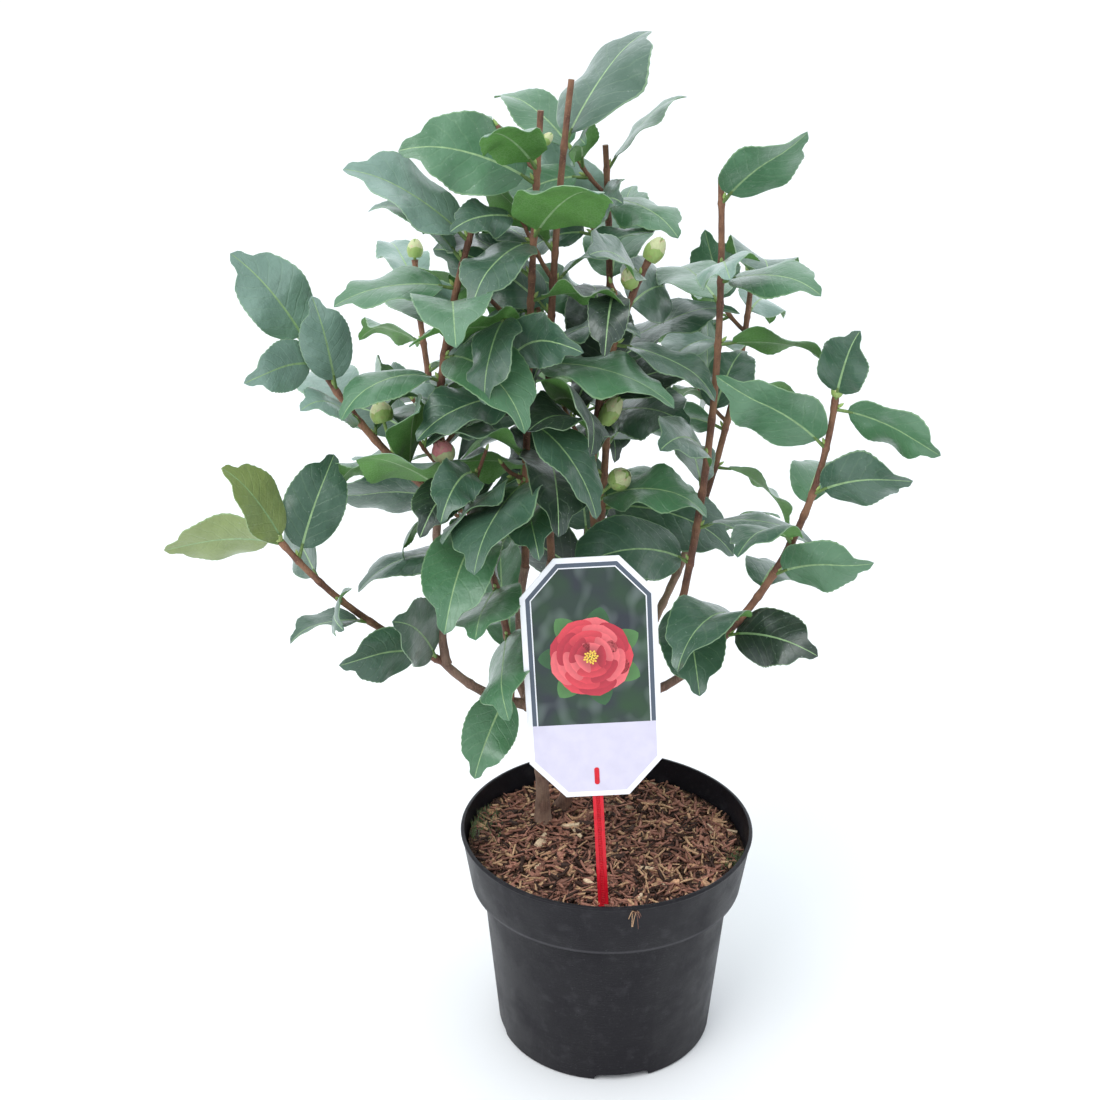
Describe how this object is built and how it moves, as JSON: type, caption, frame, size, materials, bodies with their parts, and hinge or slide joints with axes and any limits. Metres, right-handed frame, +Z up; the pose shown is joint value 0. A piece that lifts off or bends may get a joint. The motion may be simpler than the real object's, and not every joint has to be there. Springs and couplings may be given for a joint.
{
  "type": "potted camellia shrub",
  "caption": "Young camellia shrub with glossy evergreen leaves on upright pruned stems, in a round dark nursery pot with a plant label on a stick.",
  "frame": {"origin": "middle of the pot's flat underside", "axes": "+Z up along the pot's axis, -Y to the front, where the label stands, +X to the right seen from the front"},
  "size_m": [0.4433, 0.3209, 0.6422],
  "materials": {
    "pot_plastic": "satin",
    "bark_mulch": "matte",
    "card": "satin",
    "stick_plastic": "gloss",
    "bark": "matte",
    "foliage": "satin"
  },
  "bodies": {
    "root": {"pot": "pot_plastic", "soil": "bark_mulch", "label_card": "card", "label_stick": "stick_plastic", "trunk": "bark", "second_stem": "bark", "bough_leader": "bark", "bough_front": "bark", "bough_left": "bark", "bough_left_rise": "bark", "bough_middle": "bark", "bough_right": "bark", "bough_low_right": "bark", "bough_back": "bark", "bough_back_left": "bark", "bough_back_right": "bark", "bough_back_low": "bark", "leaves_leader": "foliage", "leaves_front": "foliage", "leaves_middle": "foliage", "leaves_back": "foliage", "leaves_left": "foliage", "leaves_outer_left": "foliage", "leaves_low_left": "foliage", "leaves_inner_left": "foliage", "leaves_right": "foliage", "leaves_low_right": "foliage", "leaves_back_left": "foliage", "leaves_back_right": "foliage", "leaves_back_low": "foliage"}
  },
  "joints": []
}
